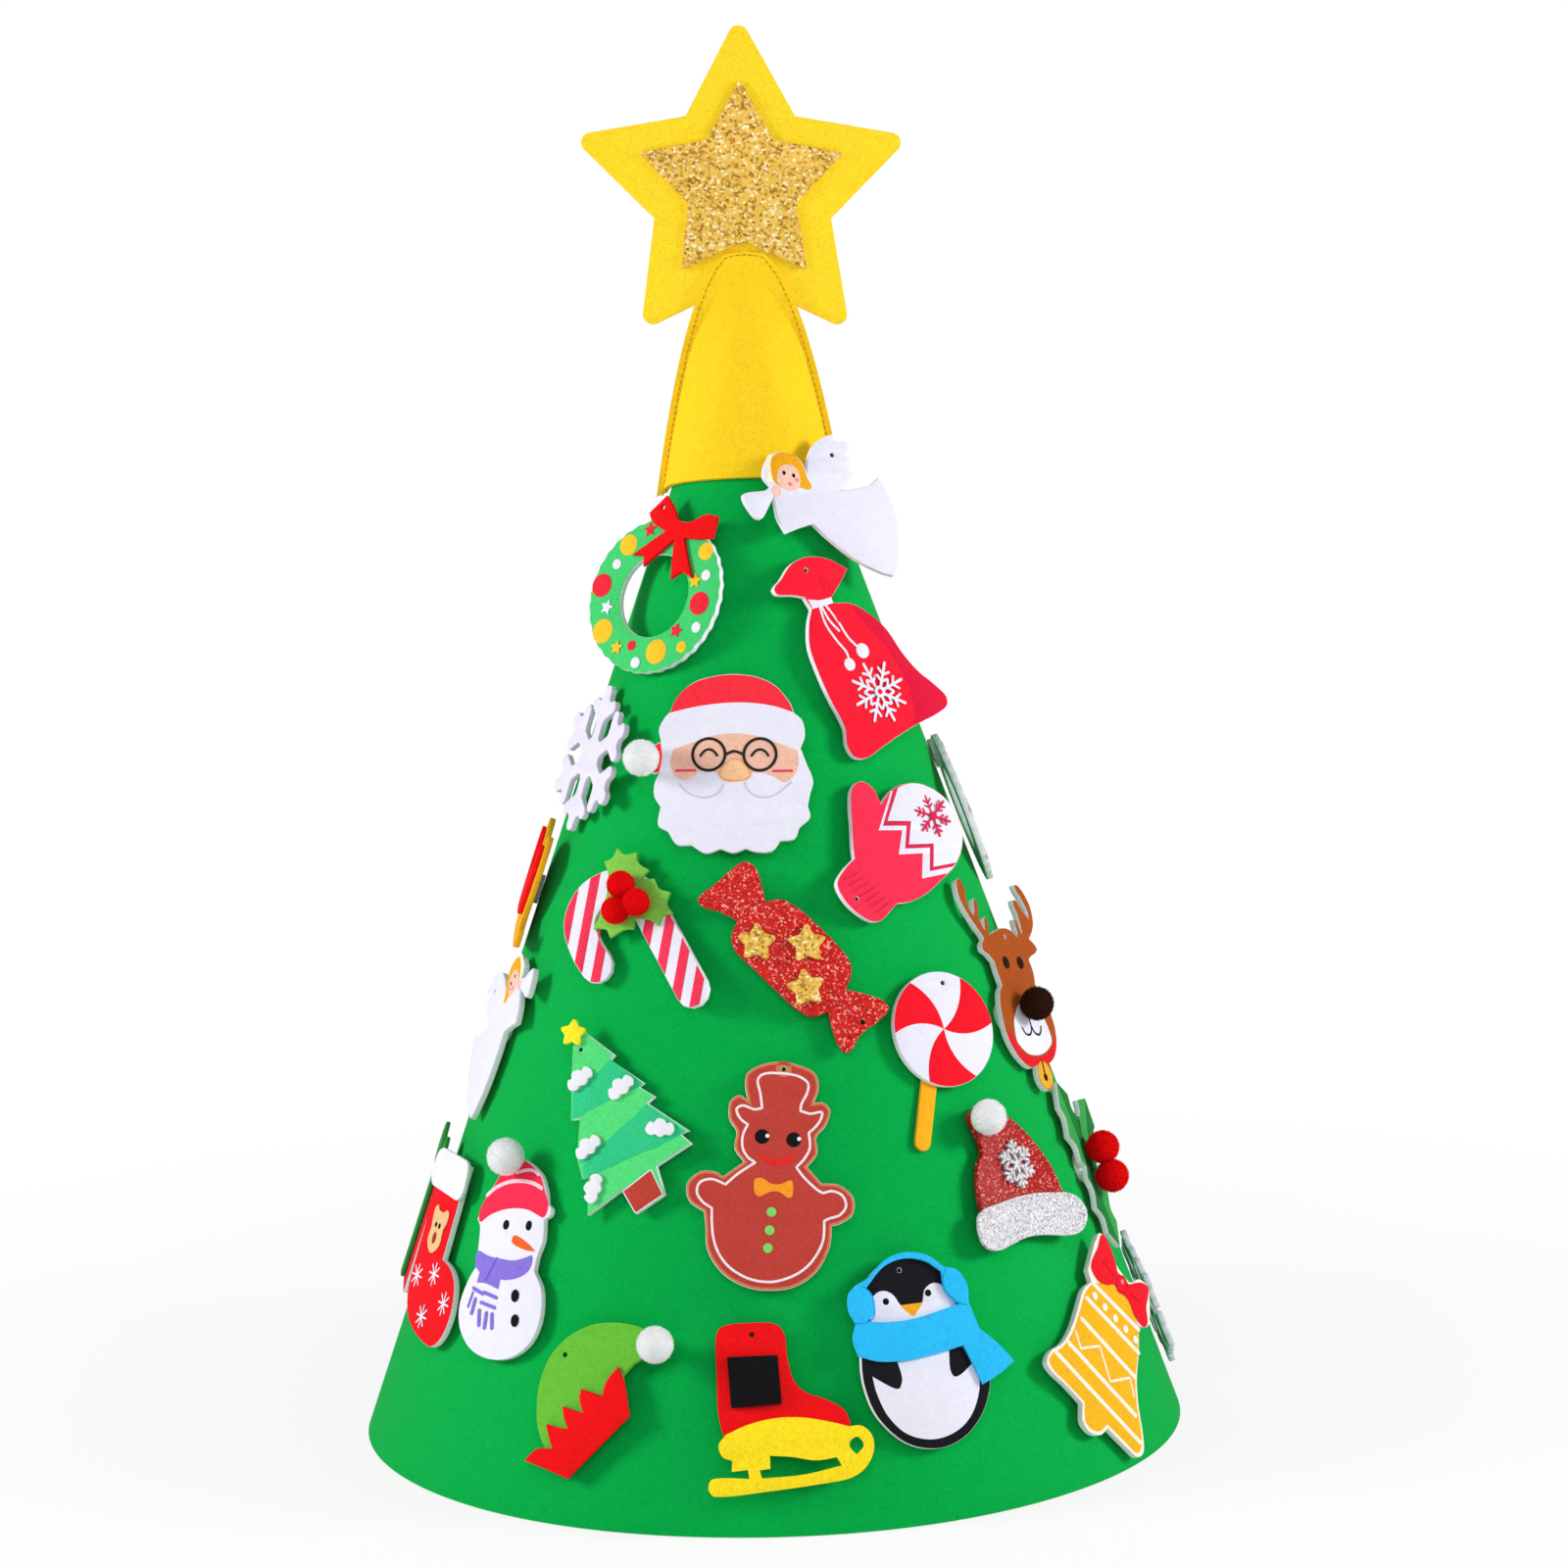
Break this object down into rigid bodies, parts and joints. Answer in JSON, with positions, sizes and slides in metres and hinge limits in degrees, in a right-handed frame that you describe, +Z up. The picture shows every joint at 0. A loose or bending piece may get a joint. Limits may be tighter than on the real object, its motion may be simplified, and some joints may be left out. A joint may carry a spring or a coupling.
{
  "type": "felt christmas tree",
  "caption": "Free-standing rolled felt cone Christmas tree with a lift-off stitched star topper and stick-on felt ornaments.",
  "frame": {"origin": "middle of the cone's foot on the floor, under the star's tip", "axes": "+Z up along the cone's axis, front of the tree with most ornaments faces -Y, +X to the right of someone who looks at the front"},
  "size_m": [0.4144, 0.4173, 0.6996],
  "materials": {
    "cone_felt": "matte green felt",
    "closure_tape": "hook tape",
    "cap_front": "matte yellow felt",
    "cap_back": "matte yellow felt",
    "star": "matte yellow felt",
    "glitter_star": "gold glitter felt",
    "wreath": "printed felt",
    "wreath_bow": "red felt",
    "angel": "printed felt",
    "gift_sack": "printed felt",
    "santa_face": "printed felt",
    "santa_pompom": "fluffy pompom",
    "snowflake": "white felt",
    "mitten": "printed felt",
    "candy_cane": "printed felt",
    "cane_holly": "green felt",
    "cane_berries": "fluffy pompoms",
    "glitter_candy": "red glitter felt",
    "candy_star_1": "gold glitter felt",
    "candy_star_2": "gold glitter felt",
    "candy_star_3": "gold glitter felt",
    "lollipop_disc": "printed felt",
    "lollipop_stick": "orange felt",
    "reindeer": "printed felt",
    "reindeer_nose": "fluffy pompom",
    "santa_hat": "red felt",
    "santa_hat_brim": "silver glitter felt",
    "santa_hat_snowflake": "silver glitter felt",
    "santa_hat_pompom": "fluffy pompom",
    "fir_ornament": "printed felt",
    "fir_star": "yellow felt",
    "fir_snow_puff_1": "white felt",
    "fir_snow_puff_2": "white felt",
    "fir_snow_puff_3": "white felt",
    "fir_snow_puff_4": "white felt",
    "fir_snow_puff_5": "white felt",
    "gingerbread": "printed felt",
    "stocking": "printed felt",
    "stocking_cuff": "white felt",
    "gift_box": "red felt",
    "gift_bow": "green felt",
    "snowman": "printed felt",
    "snowman_pompom": "fluffy pompom",
    "elf_hat": "light green felt",
    "elf_hat_brim": "red felt",
    "elf_hat_pompom": "fluffy pompom",
    "skate_boot": "red felt",
    "skate_patch": "printed felt",
    "skate_blade": "yellow felt",
    "penguin": "printed felt",
    "penguin_scarf": "blue felt",
    "bell": "printed felt",
    "holly": "printed felt",
    "holly_berries": "fluffy pompoms",
    "second_snowflake": "white felt",
    "second_wreath": "printed felt",
    "sleigh_runner": "yellow felt",
    "sleigh_body": "red felt",
    "second_angel": "printed felt"
  },
  "bodies": {
    "tree": {"cone_felt": "cone_felt", "closure_tape": "closure_tape"},
    "topper": {"cap_front": "cap_front", "cap_back": "cap_back", "star": "star", "glitter_star": "glitter_star"},
    "wreath_ornament": {"wreath": "wreath", "wreath_bow": "wreath_bow"},
    "angel_ornament": {"angel": "angel"},
    "gift_sack_ornament": {"gift_sack": "gift_sack"},
    "santa_ornament": {"santa_face": "santa_face", "santa_pompom": "santa_pompom"},
    "snowflake_ornament": {"snowflake": "snowflake"},
    "mitten_ornament": {"mitten": "mitten"},
    "candy_cane_ornament": {"candy_cane": "candy_cane", "cane_holly": "cane_holly", "cane_berries": "cane_berries"},
    "candy_ornament": {"glitter_candy": "glitter_candy", "candy_star_1": "candy_star_1", "candy_star_2": "candy_star_2", "candy_star_3": "candy_star_3"},
    "lollipop_ornament": {"lollipop_disc": "lollipop_disc", "lollipop_stick": "lollipop_stick"},
    "reindeer_ornament": {"reindeer": "reindeer", "reindeer_nose": "reindeer_nose"},
    "santa_hat_ornament": {"santa_hat": "santa_hat", "santa_hat_brim": "santa_hat_brim", "santa_hat_snowflake": "santa_hat_snowflake", "santa_hat_pompom": "santa_hat_pompom"},
    "fir_ornament": {"fir_ornament": "fir_ornament", "fir_star": "fir_star", "fir_snow_puff_1": "fir_snow_puff_1", "fir_snow_puff_2": "fir_snow_puff_2", "fir_snow_puff_3": "fir_snow_puff_3", "fir_snow_puff_4": "fir_snow_puff_4", "fir_snow_puff_5": "fir_snow_puff_5"},
    "gingerbread_ornament": {"gingerbread": "gingerbread"},
    "stocking_ornament": {"stocking": "stocking", "stocking_cuff": "stocking_cuff"},
    "gift_box_ornament": {"gift_box": "gift_box", "gift_bow": "gift_bow"},
    "snowman_ornament": {"snowman": "snowman", "snowman_pompom": "snowman_pompom"},
    "elf_hat_ornament": {"elf_hat": "elf_hat", "elf_hat_brim": "elf_hat_brim", "elf_hat_pompom": "elf_hat_pompom"},
    "skate_ornament": {"skate_boot": "skate_boot", "skate_patch": "skate_patch", "skate_blade": "skate_blade"},
    "penguin_ornament": {"penguin": "penguin", "penguin_scarf": "penguin_scarf"},
    "bell_ornament": {"bell": "bell"},
    "holly_ornament": {"holly": "holly", "holly_berries": "holly_berries"},
    "second_snowflake_ornament": {"second_snowflake": "second_snowflake"},
    "second_wreath_ornament": {"second_wreath": "second_wreath"},
    "sleigh_ornament": {"sleigh_runner": "sleigh_runner", "sleigh_body": "sleigh_body"},
    "second_angel_ornament": {"second_angel": "second_angel"}
  },
  "joints": [
    {"name": "topper_lift", "type": "slide", "parent": "tree", "child": "topper", "axis": [0, 0, 1], "range_m": [0, 0.25]},
    {"name": "wreath_pull", "type": "slide", "parent": "tree", "child": "wreath_ornament", "axis": [-0.5801, -0.7424, 0.3351], "range_m": [0, 0.06]},
    {"name": "angel_pull", "type": "slide", "parent": "topper", "child": "angel_ornament", "axis": [0.4423, -0.8319, 0.3351], "range_m": [0, 0.06]},
    {"name": "gift_sack_pull", "type": "slide", "parent": "tree", "child": "gift_sack_ornament", "axis": [0.5538, -0.7622, 0.3351], "range_m": [0, 0.06]},
    {"name": "santa_pull", "type": "slide", "parent": "tree", "child": "santa_ornament", "axis": [-0.0821, -0.9386, 0.3351], "range_m": [0, 0.06]},
    {"name": "snowflake_pull", "type": "slide", "parent": "tree", "child": "snowflake_ornament", "axis": [-0.8607, -0.3832, 0.3351], "range_m": [0, 0.06]},
    {"name": "mitten_pull", "type": "slide", "parent": "tree", "child": "mitten_ornament", "axis": [0.5538, -0.7622, 0.3351], "range_m": [0, 0.06]},
    {"name": "candy_cane_pull", "type": "slide", "parent": "tree", "child": "candy_cane_ornament", "axis": [-0.4423, -0.8319, 0.3351], "range_m": [0, 0.06]},
    {"name": "candy_pull", "type": "slide", "parent": "tree", "child": "candy_ornament", "axis": [0.1311, -0.933, 0.3351], "range_m": [0, 0.06]},
    {"name": "lollipop_pull", "type": "slide", "parent": "tree", "child": "lollipop_ornament", "axis": [0.4993, -0.799, 0.3351], "range_m": [0, 0.06]},
    {"name": "reindeer_pull", "type": "slide", "parent": "tree", "child": "reindeer_ornament", "axis": [0.8319, -0.4423, 0.3351], "range_m": [0, 0.06]},
    {"name": "santa_hat_pull", "type": "slide", "parent": "tree", "child": "santa_hat_ornament", "axis": [0.6777, -0.6545, 0.3351], "range_m": [0, 0.06]},
    {"name": "fir_pull", "type": "slide", "parent": "tree", "child": "fir_ornament", "axis": [-0.3832, -0.8607, 0.3351], "range_m": [0, 0.06]},
    {"name": "gingerbread_pull", "type": "slide", "parent": "tree", "child": "gingerbread_ornament", "axis": [0.0329, -0.9416, 0.3351], "range_m": [0, 0.06]},
    {"name": "stocking_pull", "type": "slide", "parent": "tree", "child": "stocking_ornament", "axis": [-0.8395, -0.4277, 0.3351], "range_m": [0, 0.06]},
    {"name": "gift_box_pull", "type": "slide", "parent": "tree", "child": "gift_box_ornament", "axis": [-0.9399, -0.0657, 0.3351], "range_m": [0, 0.06]},
    {"name": "snowman_pull", "type": "slide", "parent": "tree", "child": "snowman_ornament", "axis": [-0.6304, -0.7002, 0.3351], "range_m": [0, 0.06]},
    {"name": "elf_hat_pull", "type": "slide", "parent": "tree", "child": "elf_hat_ornament", "axis": [-0.4277, -0.8395, 0.3351], "range_m": [0, 0.06]},
    {"name": "skate_pull", "type": "slide", "parent": "tree", "child": "skate_ornament", "axis": [0.0493, -0.9409, 0.3351], "range_m": [0, 0.06]},
    {"name": "penguin_pull", "type": "slide", "parent": "tree", "child": "penguin_ornament", "axis": [0.3222, -0.8854, 0.3351], "range_m": [0, 0.06]},
    {"name": "bell_pull", "type": "slide", "parent": "tree", "child": "bell_ornament", "axis": [0.7424, -0.5801, 0.3351], "range_m": [0, 0.06]},
    {"name": "holly_pull", "type": "slide", "parent": "tree", "child": "holly_ornament", "axis": [0.9057, -0.2597, 0.3351], "range_m": [0, 0.06]},
    {"name": "second_snowflake_pull", "type": "slide", "parent": "tree", "child": "second_snowflake_ornament", "axis": [0.9386, 0.0821, 0.3351], "range_m": [0, 0.06]},
    {"name": "second_wreath_pull", "type": "slide", "parent": "tree", "child": "second_wreath_ornament", "axis": [0.9409, 0.0493, 0.3351], "range_m": [0, 0.06]},
    {"name": "sleigh_pull", "type": "slide", "parent": "tree", "child": "sleigh_ornament", "axis": [-0.9416, -0.0329, 0.3351], "range_m": [0, 0.06]},
    {"name": "second_angel_pull", "type": "slide", "parent": "tree", "child": "second_angel_ornament", "axis": [-0.8961, -0.2912, 0.3351], "range_m": [0, 0.06]}
  ]
}
